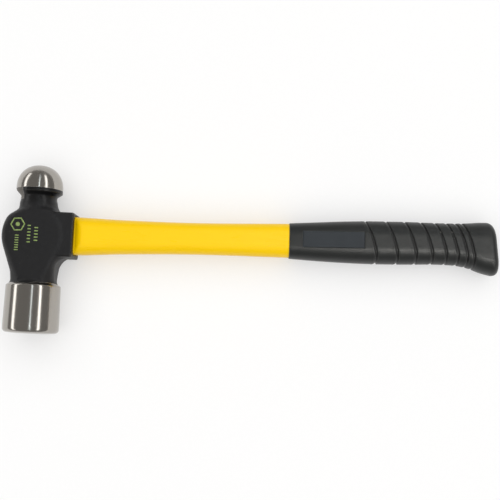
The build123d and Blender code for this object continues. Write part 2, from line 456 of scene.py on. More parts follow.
def gradient(distance, points, reach=0.0003):
    """The direction in which the distance grows, at each point."""
    slopes = []
    for axis in range(3):
        step = np.zeros(3)
        step[axis] = reach
        slopes.append(distance(*(points + step).T) - distance(*(points - step).T))
    return np.stack(slopes, 1) / (2 * reach)


def settle(distance, points, rounds=2):
    """Moves the points onto the surface where the distance is zero."""
    for _ in range(rounds):
        slope = gradient(distance, points)
        size = np.maximum((slope * slope).sum(1), 0.1)
        points = points - (distance(*points.T) / size)[:, None] * slope
    return points


def skin(distance, low, high, cell):
    """A closed mesh of quads over the surface where the distance is zero (a surface net)."""
    counts = np.ceil((np.array(high) - low) / cell).astype(int) + 1
    axes = [low[a] + cell * np.arange(counts[a]) for a in range(3)]
    across, up = np.meshgrid(axes[1], axes[2], indexing="ij")
    field = np.stack([distance(np.full_like(across, x), across, up) for x in axes[0]])
    inside = field < 0
    corners = np.array([(i, j, k) for i in (0, 1) for j in (0, 1) for k in (0, 1)])
    count = sum(
        inside[i : counts[0] - 1 + i, j : counts[1] - 1 + j, k : counts[2] - 1 + k].astype(int)
        for i, j, k in corners
    )
    cells = np.argwhere((count > 0) & (count < 8))
    number = np.full(counts - 1, -1)
    number[tuple(cells.T)] = np.arange(len(cells))
    values = np.stack([field[tuple((cells + c).T)] for c in corners], 1)
    total = np.zeros((len(cells), 3))
    crossings = np.zeros(len(cells))
    for a in range(8):
        for b in range(a + 1, 8):
            if np.abs(corners[a] - corners[b]).sum() != 1:
                continue
            crossed = (values[:, a] < 0) != (values[:, b] < 0)
            share = np.where(crossed, values[:, a] / np.where(crossed, values[:, a] - values[:, b], 1), 0)
            total += np.where(crossed[:, None], corners[a] + share[:, None] * (corners[b] - corners[a]), 0)
            crossings += crossed
    points = low + cell * (cells + total / crossings[:, None])
    quads = []
    for axis in range(3):
        ahead = np.roll(inside, -1, axis)
        edges = np.argwhere(inside != ahead)
        edges = edges[edges[:, axis] < counts[axis] - 1]
        back_first, back_second = np.eye(3, dtype=int)[[(axis + 1) % 3, (axis + 2) % 3]]
        ring = [edges - back_first - back_second, edges - back_second, edges, edges - back_first]
        quad = np.stack([number[tuple(r.T)] for r in ring], 1)
        outward = inside[tuple(edges.T)]
        quads.append(np.where(outward[:, None], quad, quad[:, ::-1]))
    quads = np.concatenate(quads)
    points = settle(distance, points)
    for _ in range(3):
        total = np.zeros_like(points)
        meets = np.zeros(len(points))
        for a in range(4):
            for b in ((a + 1) % 4, (a + 3) % 4):
                np.add.at(total, quads[:, a], points[quads[:, b]])
                np.add.at(meets, quads[:, a], 1)
        points = settle(distance, points + 0.5 * (total / meets[:, None] - points), 1)
    return settle(distance, points, 1), quads


# ---------- meshes
def add_object(name, data):
    """A new object of the scene."""
    made = bpy.data.objects.new(name, data)
    bpy.context.scene.collection.objects.link(made)
    return made


def make_piece(name, points, faces, material, slot, node=None):
    """A mesh object from points and faces in the row frame, riding on the object's one body."""
    mesh = bpy.data.meshes.new(name)
    mesh.from_pydata([tuple(p) for p in points], [], [tuple(int(i) for i in f) for f in faces])
    mesh.shade_smooth()
    mesh.materials.append(material)
    mesh.update()
    piece = add_object(name, mesh)
    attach(piece, "root")
    if node:
        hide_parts(node)
    return piece


def curve_through(table):
    """Smooth functions of distance through the rows of a table, with no overshoot."""
    table = np.array(table)
    x, y = table[:, 0], table[:, 1:]
    step = np.diff(x)[:, None]
    slope = np.diff(y, axis=0) / step
    product = slope[:-1] * slope[1:]
    inner = np.where(product > 0, 2 * product / np.where(product > 0, slope[:-1] + slope[1:], 1), 0)
    tangent = np.concatenate([slope[:1], inner, slope[-1:]])

    def value(distance):
        distance = np.clip(distance, x[0], x[-1])
        i = np.clip(np.searchsorted(x, distance, side="right") - 1, 0, len(x) - 2)
        width = step[i]
        part = ((distance - x[i]) / step[i, 0])[..., None]
        return (
            y[i] * (1 + 2 * part) * (1 - part) ** 2
            + tangent[i] * width * part * (1 - part) ** 2
            + y[i + 1] * part**2 * (3 - 2 * part)
            + tangent[i + 1] * width * part**2 * (part - 1)
        )

    return value


TOP_COLUMNS = PANEL_WIDTH / 2 + np.array(
    [-6.5, -5.0, -3.5, -2.3, -1.3, -0.6, -0.18, -0.06, 0, 0.06, 0.18, 0.5, 1.1, 1.8]
) / 1000
TOP_COLUMNS = PANEL_SHIFT + np.concatenate([TOP_COLUMNS[:0:-1], -TOP_COLUMNS])
CORNER_COLUMNS = 16
FLAT_COLUMNS = 10


def section_ring(ball_reach, face_reach, thickness, corner):
    """Points (t, w) round the handle's section. Each size is a number or has one entry a column.

    The columns over the top of the handle stand at fixed places across it, where the panel's
    edges are, and the others are spread round the rest of the section.
    """
    count = len(TOP_COLUMNS)
    rest = 4 * CORNER_COLUMNS + 2 * FLAT_COLUMNS
    ball_reach, face_reach, thickness, corner = (
        np.broadcast_to(np.asarray(size, float), (count + rest,))
        for size in (ball_reach, face_reach, thickness, corner)
    )
    middle = (ball_reach - face_reach) / 2
    straight = (ball_reach + face_reach) / 2 - corner
    rise = thickness / 2 - corner
    top = slice(0, count)
    off = np.maximum(np.abs(TOP_COLUMNS - middle[top]) - straight[top], 0)
    t = [TOP_COLUMNS]
    w = [rise[top] + np.sqrt(corner[top] ** 2 - off**2)]
    at = count

    def take(columns):
        nonlocal at
        at += columns
        return slice(at - columns, at)

    def corner_arc(side, level, start, end):
        part = take(CORNER_COLUMNS)
        turn = start[part] + (end - start[part]) * np.linspace(0, 1, CORNER_COLUMNS + 1)[1:]
        t.append(middle[part] + side * straight[part] + corner[part] * np.cos(turn))
        w.append(level * rise[part] + corner[part] * np.sin(turn))

    everywhere = np.ones(count + rest)
    reach = np.clip((np.abs(TOP_COLUMNS[-1] - middle) - straight) / corner, 0, 1)
    corner_arc(-1, 1, math.pi / 2 + np.arcsin(reach), math.pi)
    corner_arc(-1, -1, everywhere * math.pi, 1.5 * math.pi)
    part = take(2 * FLAT_COLUMNS)
    t.append(middle[part] + np.linspace(-1, 1, 2 * FLAT_COLUMNS + 1)[1:] * straight[part])
    w.append(-rise[part] - corner[part])
    corner_arc(1, -1, everywhere * 1.5 * math.pi, 2 * math.pi)
    reach = np.clip((np.abs(TOP_COLUMNS[0] - middle) - straight) / corner, 0, 1)
    last = math.pi / 2 - np.arcsin(reach[-1])
    part = take(CORNER_COLUMNS)
    turn = last * np.linspace(0, 1, CORNER_COLUMNS + 2)[1:-1]
    t.append(middle[part] + straight[part] + corner[part] * np.cos(turn))
    w.append(rise[part] + corner[part] * np.sin(turn))
    return np.concatenate(t), np.concatenate(w)


COLUMNS = len(TOP_COLUMNS) + 4 * CORNER_COLUMNS + 2 * FLAT_COLUMNS


def place(s, t, w):
    """Points in the row frame, from places along, across and above the handle's line."""
    s, t, w = np.broadcast_arrays(s, t, w)
    return HANDLE_ORIGIN + s[:, None] * ALONG + t[:, None] * ACROSS + w[:, None] * UP


def section_at(table, distance):
    """(ball reach, face reach, thickness, corner) of a table's section at a distance."""
    ball_reach, face_reach, thickness = np.moveaxis(table(distance), -1, 0)
    return ball_reach, face_reach, thickness, CORNER_SHARE * np.minimum(ball_reach + face_reach, thickness)


def shrink(section, inset):
    """The section with its outline moved inward."""
    ball_reach, face_reach, thickness, corner = section
    return ball_reach - inset, face_reach - inset, thickness - 2 * inset, corner - CORNER_SHARE * 2 * inset


def between(first, second, share):
    """A section part of the way from one to another."""
    return tuple(a + (b - a) * share for a, b in zip(first, second))


def closed_rings(rings):
    """Points and faces of a closed skin over the rings, with a point at each end."""
    count = len(rings[0])
    points = np.concatenate([rings[0].mean(0)[None], *rings, rings[-1].mean(0)[None]])
    pairs = [(a, (a + 1) % count) for a in range(count)]
    faces = [(0, 1 + b, 1 + a) for a, b in pairs]
    for i in range(len(rings) - 1):
        start = 1 + i * count
        faces += [(start + a, start + b, start + count + b, start + count + a) for a, b in pairs]
    start = 1 + (len(rings) - 1) * count
    faces += [(start + a, start + b, len(points) - 1) for a, b in pairs]
    first, second, third = (points[[f[corner] for f in faces]] for corner in range(3))
    if np.einsum("ij,ij->i", first, np.cross(second, third)).sum() < 0:
        faces = [f[::-1] for f in faces]
    return points, faces


def cap_rings(ring, steps=6):
    """Smaller and smaller rings toward the middle of a flat end."""
    middle = ring.mean(0)
    return [middle + (ring - middle) * share for share in np.linspace(0, 1, steps + 1)[1:]]


def bore_rings(section, start, end, step=0.012):
    """Rings of a blind bore, from the middle of its end out to its mouth."""
    t, w = section_ring(*section)
    distances = np.linspace(end, start, int(abs(end - start) / step) + 2)
    return cap_rings(place(end, t, w))[:-1] + [place(s, t, w) for s in distances]


jacket_table = curve_through(JACKET_SECTIONS)
grip_table = curve_through(GRIP_SECTIONS)
EYE_SECTION = (EYE_WIDTH / 2, EYE_WIDTH / 2, EYE_THICKNESS, EYE_CORNER)
SLEEVE_SECTION = (SLEEVE_WIDTH / 2, SLEEVE_WIDTH / 2, SLEEVE_THICKNESS, CORNER_SHARE * SLEEVE_THICKNESS)
JACKET_END = HANDLE_LENGTH - BUTT_COVER


def jacket_mesh():
    """The jacket: a spigot in the eye, a sloped shoulder, the long waist, and a sleeve in the grip."""
    rings = bore_rings(CORE_SECTION, -SPIGOT_DEPTH, JACKET_END - CORE_END_COVER)
    spigot = shrink(EYE_SECTION, SPIGOT_CLEARANCE)
    rings.append(place(-SPIGOT_DEPTH, *section_ring(*shrink(spigot, SPIGOT_EDGE))))
    for s in (-SPIGOT_DEPTH + SPIGOT_EDGE, -0.003, 0, JACKET_START * 0.6):
        rings.append(place(s, *section_ring(*spigot)))
    shoulder = section_at(jacket_table, np.array(SHOULDER_END))
    # The slope is a little hollow at its foot and rounds over at the top.
    for share in np.linspace(0, 1, SHOULDER_ROWS):
        s = JACKET_START + (SHOULDER_END - JACKET_START) * share
        grown = share + SHOULDER_HOLLOW * (math.sin(math.pi * share) - share**8)
        rings.append(place(s, *section_ring(*between(spigot, shoulder, grown))))
    for s in np.linspace(SHOULDER_END, GRIP_START, WAIST_ROWS)[1:]:
        swell = SHOULDER_SWELL * math.exp(-((s - SHOULDER_END) / SHOULDER_SWELL_SPAN) ** 2)
        rings.append(place(s, *section_ring(*shrink(section_at(jacket_table, s), -swell))))
    rings.append(place(GRIP_START + 0.0006, *section_ring(*SLEEVE_SECTION)))
    for s in np.linspace(GRIP_START + 0.002, JACKET_END, SLEEVE_ROWS):
        rings.append(place(s, *section_ring(*SLEEVE_SECTION)))
    rings += cap_rings(rings[-1])[-2::-1]
    return closed_rings(rings)


def groove_bend(t, face_reach):
    """How far along the handle a groove lies at a place across it: it leans and bows."""
    t = np.where(t < 0, t * GROOVE_FACE_SPAN / face_reach, t)
    return sum(share * t**power for power, share in enumerate(GROOVE_BEND))


def grip_rows():
    """Rows of the grip's skin: (function from across to along, inset)."""
    rows = []

    def straight(s):
        return lambda t: s + 0 * t

    def leaning(s):
        return lambda t: s - t * math.tan(BUTT_LEAN)

    def bent(s):
        return lambda t: s + groove_bend(t, grip_table(s + GROOVE_AHEAD)[1])

    def mixed(first, second, share):
        return lambda t: first(t) + (second(t) - first(t)) * share

    rows += [(straight(GRIP_START + offset), inset) for offset, inset in GRIP_EDGE]
    panel_end = PANEL_START + PANEL_LENGTH
    lead = np.linspace(GRIP_START + 0.0018, PANEL_START - 0.001, LEAD_ROWS)
    beside_panel = np.linspace(PANEL_START + EDGE_GAP, panel_end - EDGE_GAP, PANEL_ROWS)
    edges = [[edge + offset for offset in EDGE_ROWS] for edge in (PANEL_START, panel_end)]
    rows += [(straight(s), 0) for s in (*lead, *edges[0], *beside_panel, *edges[1])]
    before = straight(edges[1][-1])
    for n in range(GROOVE_COUNT):
        notch = GROOVE_FIRST + n * GROOVE_SPACING - GROOVE_CLOSING * n * (n - 1) / 2
        first = bent(notch - GROOVE_ROWS_START)
        land_rows = LAND_ROWS if n else FIRST_LAND_ROWS
        rows += [(mixed(before, first, share), 0) for share in np.linspace(0, 1, land_rows)[1:-1]]
        rows += [(bent(notch + offset), inset) for offset, inset in GROOVE_START_EDGE]
        rows += [(bent(notch + GROOVE_WIDTH + offset), inset) for offset, inset in GROOVE_END_EDGE]
        before = bent(notch + GROOVE_WIDTH + GROOVE_END_EDGE[-1][0])
    end = HANDLE_LENGTH - BUTT_ROUND - BUTT_DOME - BUTT_LEAN_ROOM
    rows += [(mixed(before, leaning(end), share), 0) for share in np.linspace(0, 1, BUTT_ROWS)[1:]]
    for turn in np.radians(np.linspace(0, 90, ROUND_ROWS)[1:]):
        rows.append((leaning(end + BUTT_ROUND * math.sin(turn)), BUTT_ROUND * (1 - math.cos(turn))))
    return rows


def pocket(s, t, w):
    """Sinks the skin into the panel's pocket, where it lies over the top of the grip."""
    level = panel_height(s) - PANEL_THICKNESS
    from_side = PANEL_WIDTH / 2 - np.abs(t - PANEL_SHIFT)
    margin = np.minimum.reduce([s - PANEL_START, PANEL_START + PANEL_LENGTH - s, from_side])
    over = w > 0
    rim = np.clip(1 + margin / POCKET_RIM, 0, 1) ** 2 * POCKET_RIM_DROP
    inside = over & (margin > 0.00001)
    return np.where(inside, level, np.where(over, w - rim, w))


def panel_height(s):
    """Height of the panel's face above the handle's line."""
    return PANEL_LEVEL + (s - PANEL_START - PANEL_LENGTH / 2) * math.tan(PANEL_RISE)


def grip_mesh():
    """The grip: rings that follow the leaning grooves, a pocket for the panel and a rounded butt."""
    rings = bore_rings(SLEEVE_SECTION, GRIP_START, JACKET_END)
    for along, inset in grip_rows():
        t = np.zeros(COLUMNS)
        for _ in range(5):
            s = along(t)
            t, w = section_ring(*shrink(section_at(grip_table, s), inset))
        s = along(t)
        if s.min() < PANEL_START + PANEL_LENGTH + 0.001:
            w = pocket(s, t, w)
        rings.append(place(s, t, w))
    last = rings[-1]
    middle = last.mean(0)
    for share in (0.9, 0.75, 0.58, 0.4, 0.2):
        rings.append(middle + (last - middle) * share + ALONG * BUTT_DOME * (1 - share * share))
    points, faces = closed_rings(rings)
    points[-1] += ALONG * BUTT_DOME * 0.04
    return points, faces


def panel_mesh():
    """The panel: a thin plate with softened edges, lying in its pocket."""
    across = PANEL_WIDTH / 2 - PANEL_GAP
    along = PANEL_LENGTH / 2 - PANEL_GAP
    middle = PANEL_START + PANEL_LENGTH / 2
    rings = []
    profile = [(0.0, -PANEL_THICKNESS)]
    for turn in np.radians(np.linspace(0, 90, 6)):
        inset, drop = PANEL_EDGE_ROUND * (1 - np.array([math.cos(turn), math.sin(turn)]))
        profile.append((inset, -drop))
    for inset, drop in profile:
        x, y = along - inset, across - inset
        outline = rounded([(*corner, PANEL_CORNER) for corner in ((x, y), (-x, y), (-x, -y), (x, -y))])
        s = middle + outline[:, 0]
        rings.append(place(s, PANEL_SHIFT + outline[:, 1], panel_height(s) + drop))
    bottom = cap_rings(rings[0], 3)[:-1]
    top = cap_rings(rings[-1], 8)[-2::-1]
    return closed_rings(bottom + rings + top)


def epoxy_mesh():
    """The epoxy that fills the eye's front, with an uneven skin a little below the steel."""

    def flared(s, inset):
        return section_ring(*shrink(EYE_SECTION, inset - eye_flare(s)))

    rings = bore_rings(CORE_SECTION, -FILL_DEPTH, -EYE_DEPTH + CORE_FRONT_COVER)
    for s in np.linspace(-FILL_DEPTH, -EYE_DEPTH + EPOXY_BODY_COVER, 10):
        rings.append(place(s, *flared(s, EPOXY_GAP)))
    rim_t, rim_w = flared(-EYE_DEPTH + EPOXY_RIM_COVER, EPOXY_GAP)
    for share in (1.0, 0.985, 0.96, 0.92, 0.86, 0.78, 0.68, 0.56, 0.43, 0.28, 0.13):
        t, w = rim_t * share, rim_w * share
        sunk = EPOXY_SINK - EPOXY_CREEP * math.exp(-(1 - share) / 0.03)
        near, far = np.full(len(t), -EYE_DEPTH - 0.004), np.full(len(t), -EYE_DEPTH + 0.012)
        for _ in range(24):
            s = (near + far) / 2
            u = COLLAR_END + s * math.cos(HANDLE_LEAN) - t * math.sin(HANDLE_LEAN)
            v = HANDLE_HEIGHT + s * math.sin(HANDLE_LEAN) + t * math.cos(HANDLE_LEAN)
            outside = blank_distance(u, v, w) > -sunk
            near, far = np.where(outside, s, near), np.where(outside, far, s)
        waves = EPOXY_WAVE * np.sin(t * 900 + 1.1) * np.sin(w * 1300 + 0.4) * (1 - share**6)
        rings.append(place(s + waves, t, w))
    return closed_rings(rings)


def cheek_level(outline):
    """Height of the cheek's face over the places (u, v) of an outline."""
    u, v = np.array(outline).T
    near, far = np.full(len(u), CHEEK_HALF - 0.002), np.full(len(u), CHEEK_HALF + 0.002)
    for _ in range(20):
        w = (near + far) / 2
        inside = head_distance(u, v, w) < 0
        near, far = np.where(inside, w, near), np.where(inside, far, w)
    return MIDDLE_Z + near


def plates(outlines, thickness):
    """Thin flat plates over the cheek: one closed prism for each convex outline (u, v)."""
    points, faces = [], []
    for outline in outlines:
        start, count = len(points), len(outline)
        for rise in (-thickness, thickness):
            points += [(HEAD_X + u, FACE_Y + v, z + rise) for (u, v), z in zip(outline, cheek_level(outline))]
        faces.append([start + i for i in range(count)][::-1])
        faces.append([start + count + i for i in range(count)])
        for i in range(count):
            j = (i + 1) % count
            faces.append([start + i, start + j, start + count + j, start + count + i])
    return points, faces


# ---------- materials
def srgb(red, green, blue):
    """A colour from its 0 to 255 screen values."""
    channels = [c / 255 for c in (red, green, blue)]
    return tuple(c / 12.92 if c < 0.04045 else ((c + 0.055) / 1.055) ** 2.4 for c in channels) + (1.0,)


class Surface:
    """One procedural material. Each call adds nodes and returns the socket with their result."""

    def __init__(self, name, **sockets):
        self.material = bpy.data.materials.new(name)
        self.material.use_nodes = True
        self.tree = self.material.node_tree
        self.shader = self.tree.nodes["Principled BSDF"]
        for socket, value in sockets.items():
            self.shader.inputs[socket.replace("_", " ")].default_value = value
        self.here = self.node("ShaderNodeTexCoord").outputs["Object"]

    def node(self, kind, inputs=(), **settings):
        made = self.tree.nodes.new(kind)
        for key, value in settings.items():
            setattr(made, key, value)
        for key, value in dict(inputs).items():
            if isinstance(value, bpy.types.NodeSocket):
                self.tree.links.new(value, made.inputs[key])
            else:
                made.inputs[key].default_value = value
        return made

    def math(self, operation, a, b=0.0, c=0.0):
        return self.node("ShaderNodeMath", {0: a, 1: b, 2: c}, operation=operation).outputs[0]

    def times(self, a, b):
        return self.math("MULTIPLY", a, b)

    def plus(self, a, b):
        return self.math("ADD", a, b)

    def minus(self, a, b):
        return self.math("SUBTRACT", a, b)

    def ranged(self, values, **settings):
        inputs = dict(zip(("Value", "From Min", "From Max", "To Min", "To Max"), values))
        return self.node("ShaderNodeMapRange", inputs, **settings).outputs["Result"]

    def step(self, value, low, high):
        """0 below low, 1 above high, and smooth between."""
        return self.ranged((value, low, high, 0.0, 1.0), interpolation_type="SMOOTHSTEP")

    def spread(self, value, low, high):
        """A 0 to 1 value as a number from low to high."""
        return self.ranged((value, 0.0, 1.0, low, high))

    def mix(self, share, a, b):
        inputs = {0: share, 6: a, 7: b}
        return self.node("ShaderNodeMix", inputs, data_type="RGBA").outputs[2]

    def tint(self, colour, share, strength, other):
        """The colour, turned toward another where the share is 1, as far as the strength."""
        return self.mix(self.times(share, strength), colour, other)

    def blend(self, share, a, b):
        return self.node("ShaderNodeMix", {0: share, 2: a, 3: b}, data_type="FLOAT").outputs[0]

    def at(self, scale):
        """The place, stretched by a scale for each axis."""
        return self.node("ShaderNodeMapping", {"Vector": self.here, "Scale": scale}).outputs["Vector"]

    def noise(self, size, detail=2.0, roughness=0.5, place=None):
        """Cloudy noise from 0 to 1 whose lumps are about this size, in metres."""
        inputs = {"Vector": place or self.here, "Scale": 1 / size, "Detail": detail, "Roughness": roughness}
        return self.node("ShaderNodeTexNoise", inputs).outputs["Fac"]

    def cells(self, size):
        """Distance from the middles of scattered cells."""
        inputs = {"Vector": self.here, "Scale": 1 / size}
        return self.node("ShaderNodeTexVoronoi", inputs).outputs["Distance"]

    def bump(self, height, depth, below=None):
        inputs = {"Height": height, "Distance": depth, "Strength": 1.0}
        if below:
            inputs["Normal"] = below
        return self.node("ShaderNodeBump", inputs).outputs["Normal"]

    def split(self):
        return self.node("ShaderNodeSeparateXYZ", {0: self.here}).outputs

    def joined(self, x, y, z):
        return self.node("ShaderNodeCombineXYZ", {0: x, 1: y, 2: z}).outputs[0]

    def edges(self, low, high):
        """1 on outer edges, or in hollows where low is the larger number."""
        return self.step(self.node("ShaderNodeNewGeometry").outputs["Pointiness"], low, high)

    def connect(self, **sockets):
        for socket, value in sockets.items():
            self.tree.links.new(value, self.shader.inputs[socket.replace("_", " ")])
        return self.material


def painted_steel(name, brushed):
    """Satin black paint over forged steel, ground bright on the poll and the ball."""
    s = Surface(name, Specular_IOR_Level=0.3, Anisotropic=brushed, Anisotropic_Rotation=0.25)
    x, y, z = s.split()
    u = s.minus(x, HEAD_X)
    v = s.minus(y, FACE_Y)
    w = s.minus(z, MIDDLE_Z)
    angle = s.math("ARCTAN2", u, w)
    radius = s.math("SQRT", s.plus(s.times(u, u), s.times(w, w)))

    # Where the steel is bare: below the wavy line on the poll, above the line under the ball,
    # and in a strip under the ball on the front.
    waver = s.math("MULTIPLY_ADD", s.noise(0.011, 1.0), 0.0034, -0.0017)
    level = s.plus(v, waver)
    poll = s.step(level, POLL_LINE + 0.00012, POLL_LINE - 0.00012)
    ball = s.step(s.math("MULTIPLY_ADD", waver, 0.12, v), BALL_LINE - 0.0001, BALL_LINE + 0.0001)
    bright = s.math("MAXIMUM", poll, ball)
    strip = s.step(s.math("MULTIPLY_ADD", waver, 0.4, u), STRIP_EDGE + 0.0003, STRIP_EDGE - 0.0004)
    strip = s.times(strip, s.step(v, STRIP_FOOT - 0.0003, STRIP_FOOT + 0.0003))
    strip = s.times(strip, s.minus(1.0, bright))
    bare = s.math("MAXIMUM", bright, strip)

    # Grinding marks run round the axis.
    around = s.joined(s.times(angle, 0.004), v, s.times(radius, 0.2))
    fine = s.noise(0.00022, 3.0, 0.7, around)
    broad = s.noise(0.0016, 2.0, 0.6, around)
    cloud = s.noise(0.012, 2.0)
    steel = s.mix(fine, srgb(156, 152, 146), srgb(175, 171, 165))
    steel = s.tint(steel, strip, 0.75, srgb(84, 80, 75))

    lumps = s.noise(0.0065, 2.0)
    dimple = s.noise(0.0007, 2.0)
    paint = s.mix(s.noise(0.0035, 3.0, 0.6), srgb(22, 22, 23), srgb(29, 29, 30))
    # Painted shade: the paint is darkened from the neck up to the ball's paint line, and made glossier there.
    under_ball_shade_and_gloss = s.step(v, 0.099, 0.107)
    paint = s.tint(paint, under_ball_shade_and_gloss, 0.7, srgb(10, 10, 10))
    worn = s.times(s.edges(0.505, 0.56), s.step(s.noise(0.0018, 3.0, 0.7), 0.35, 0.65))
    paint = s.tint(paint, worn, 0.55, srgb(92, 88, 80))
    specks = s.step(s.cells(0.0042), 0.06, 0.035)
    paint = s.tint(paint, specks, 0.3, srgb(96, 95, 92))
    # Painted shade: a dark line just above the poll's paint edge, standing in for a shaded groove.
    rim = s.step(s.math("ABSOLUTE", s.minus(level, POLL_LINE + 0.0004)), 0.0006, 0.0001)
    paint = s.tint(paint, rim, 0.8, srgb(16, 16, 17))

    paint_rough = s.spread(s.noise(0.003, 3.0), 0.40, 0.52)
    paint_rough = s.math("MULTIPLY_ADD", under_ball_shade_and_gloss, -0.14, paint_rough)
    steel_rough = s.spread(s.blend(0.4, fine, cloud), 0.13, 0.26)
    steel_rough = s.plus(steel_rough, s.times(strip, 0.25))
    normal = s.bump(s.blend(bare, lumps, s.times(broad, 0.05)), 0.00025)
    normal = s.bump(s.blend(bare, dimple, s.times(fine, 0.10)), 0.00003, normal)
    normal = s.bump(s.minus(1.0, bare), 0.00006, normal)
    return s.connect(
        Base_Color=s.mix(bare, paint, steel),
        Metallic=bare,
        Roughness=s.blend(bare, paint_rough, steel_rough),
        Normal=normal,
        Tangent=s.joined(w, 0.0, s.times(u, -1.0)),
    )


def yellow_plastic():
    """Glossy yellow moulded plastic with faint flow marks and handling scuffs."""
    s = Surface("yellow_plastic", Specular_IOR_Level=0.24)
    flow = s.noise(0.006, 3.0, 0.55, s.at((0.18, 1.0, 1.0)))
    colour = s.mix(flow, srgb(242, 196, 0), srgb(248, 204, 1))
    scuff = s.step(s.noise(0.0011, 4.0, 0.75, s.at((0.5, 1.0, 1.0))), 0.64, 0.74)
    colour = s.tint(colour, scuff, 0.10, srgb(214, 176, 30))
    rough = s.plus(s.spread(flow, 0.24, 0.32), s.times(scuff, 0.10))
    normal = s.bump(s.noise(0.004, 2.0), 0.00004)
    normal = s.bump(s.noise(0.00045, 2.0), 0.000004, normal)
    return s.connect(Base_Color=colour, Roughness=rough, Normal=normal)


def grip_rubber():
    """Black moulded rubber: a fine matt grain, dusty bloom, lighter high spots that are partly rubbed wear
    and partly painted highlight, and painted shade in the grooves.
    """
    s = Surface("grip_rubber", Specular_IOR_Level=0.4, Sheen_Weight=0.08, Sheen_Roughness=0.45)
    cloud = s.noise(0.014, 3.0, 0.6)
    colour = s.mix(cloud, srgb(19, 21, 21), srgb(26, 28, 27))
    dust = s.step(s.noise(0.0012, 4.0, 0.8), 0.60, 0.78)
    colour = s.tint(colour, dust, 0.22, srgb(86, 88, 86))
    # Lighter on outer edges: partly rubbed wear, partly a painted highlight along the groove rims.
    rubbed_and_highlight = s.edges(0.51, 0.58)
    colour = s.tint(colour, rubbed_and_highlight, 0.55, srgb(96, 96, 92))
    # Painted shade: hollows such as the grooves are darkened toward near black.
    colour = s.mix(s.edges(0.485, 0.45), colour, srgb(7, 7, 7))
    rough = s.plus(s.spread(s.noise(0.004, 3.0), 0.38, 0.48), s.times(dust, 0.08))
    grain = s.noise(0.0004, 3.0, 0.7)
    normal = s.bump(s.noise(0.007, 2.0), 0.00009)
    normal = s.bump(grain, 0.000016, normal)
    return s.connect(Base_Color=colour, Roughness=rough, Normal=normal)


def panel_plastic():
    """Slate-grey plastic, smoother than the rubber around it."""
    s = Surface("panel_plastic", Specular_IOR_Level=0.5)
    cloud = s.noise(0.009, 2.0)
    colour = s.mix(cloud, srgb(33, 37, 41), srgb(39, 43, 47))
    rub = s.step(s.noise(0.0008, 4.0, 0.8, s.at((0.25, 1.0, 1.0))), 0.58, 0.75)
    colour = s.tint(colour, rub, 0.2, srgb(92, 95, 97))
    normal = s.bump(s.noise(0.0003, 2.0), 0.000008)
    return s.connect(Base_Color=colour, Roughness=s.spread(cloud, 0.36, 0.46), Normal=normal)


def epoxy_resin():
    """Dark poured epoxy: glossy, a little cloudy, with small bubbles."""
    s = Surface("epoxy_resin", Specular_IOR_Level=0.55, Coat_Weight=0.3, Coat_Roughness=0.08)
    cloud = s.noise(0.005, 4.0, 0.6)
    colour = s.mix(cloud, srgb(32, 30, 27), srgb(58, 52, 44))
    bubbles = s.step(s.cells(0.0016), 0.22, 0.12)
    colour = s.tint(colour, bubbles, 0.6, srgb(92, 86, 74))
    normal = s.bump(s.noise(0.003, 3.0), 0.0002)
    normal = s.bump(s.times(bubbles, -1.0), 0.0001, normal)
    return s.connect(Base_Color=colour, Roughness=s.spread(cloud, 0.16, 0.34), Normal=normal)


def seal_foam():
    """Open-cell grey foam."""
    s = Surface("seal_foam", Specular_IOR_Level=0.2)
    pores = s.cells(0.0006)
    colour = s.mix(s.step(pores, 0.15, 0.6), srgb(58, 58, 60), srgb(104, 104, 106))
    return s.connect(Base_Color=colour, Roughness=s.spread(pores, 0.7, 0.95), Normal=s.bump(pores, 0.0002))


def fibreglass():
    """Pultruded fibreglass rod: long glass strands under a clear resin."""
    s = Surface("fibreglass", Specular_IOR_Level=0.5, Coat_Weight=0.2, Coat_Roughness=0.15)
    strands = s.noise(0.0006, 4.0, 0.7, s.at((0.02, 1.0, 1.0)))
    colour = s.mix(s.step(strands, 0.3, 0.7), srgb(186, 172, 122), srgb(226, 216, 178))
    rough = s.spread(strands, 0.25, 0.45)
    return s.connect(Base_Color=colour, Roughness=rough, Normal=s.bump(strands, 0.00005))


def print_ink():
    """Pale green printing ink, thin and a little worn."""
    s = Surface("print_ink", Specular_IOR_Level=0.4)
    thin = s.step(s.noise(0.0009, 4.0, 0.75), 0.42, 0.70)
    colour = s.mix(thin, srgb(140, 162, 92), srgb(104, 120, 74))
    return s.connect(Base_Color=colour, Roughness=s.spread(thin, 0.45, 0.6), Normal=s.bump(thin, 0.00001))


def studio_floor():
    """A pale matt board that glows a little, as a light table does."""
    white = (1, 1, 1, 1)
    s = Surface("studio_floor", Specular_IOR_Level=0.2, Emission_Color=white, Emission_Strength=0.42)
    fibre = s.noise(0.002, 3.0)
    colour = s.mix(fibre, (0.49, 0.49, 0.49, 1), (0.51, 0.51, 0.51, 1))
    return s.connect(Base_Color=colour, Roughness=s.spread(fibre, 0.8, 0.9))


# ---------- the print on the cheek
def print_outlines():
    """Generic marks only: a ring of six sides with a dot, and ladders of short bars."""
    outlines = []
    middle = (-0.0118, 0.0852)
    outer, inner, dot = 0.0059, 0.0048, 0.0017

    def six(radius, i):
        turn = math.radians(60 * i + 4)
        return middle[0] + radius * math.cos(turn), middle[1] + radius * math.sin(turn)

    for i in range(6):
        outlines.append([six(inner, i), six(outer, i), six(outer, i + 1), six(inner, i + 1)])
    outlines.append([tuple(p) for p in arc(middle, dot, 0, 345, 15)])

    def bars(u, v, length, width, gap, count):
        for i in range(count):
            top = v - i * (width + gap)
            low = top - width
            outlines.append([(u, top), (u, low), (u + length, low), (u + length, top)])

    bars(-0.0135, 0.0768, 0.0030, 0.0008, 0.0011, 7)
    bars(-0.0040, 0.0850, 0.0026, 0.0010, 0.0016, 6)
    bars(0.0014, 0.0835, 0.0030, 0.0010, 0.0015, 5)
    return outlines


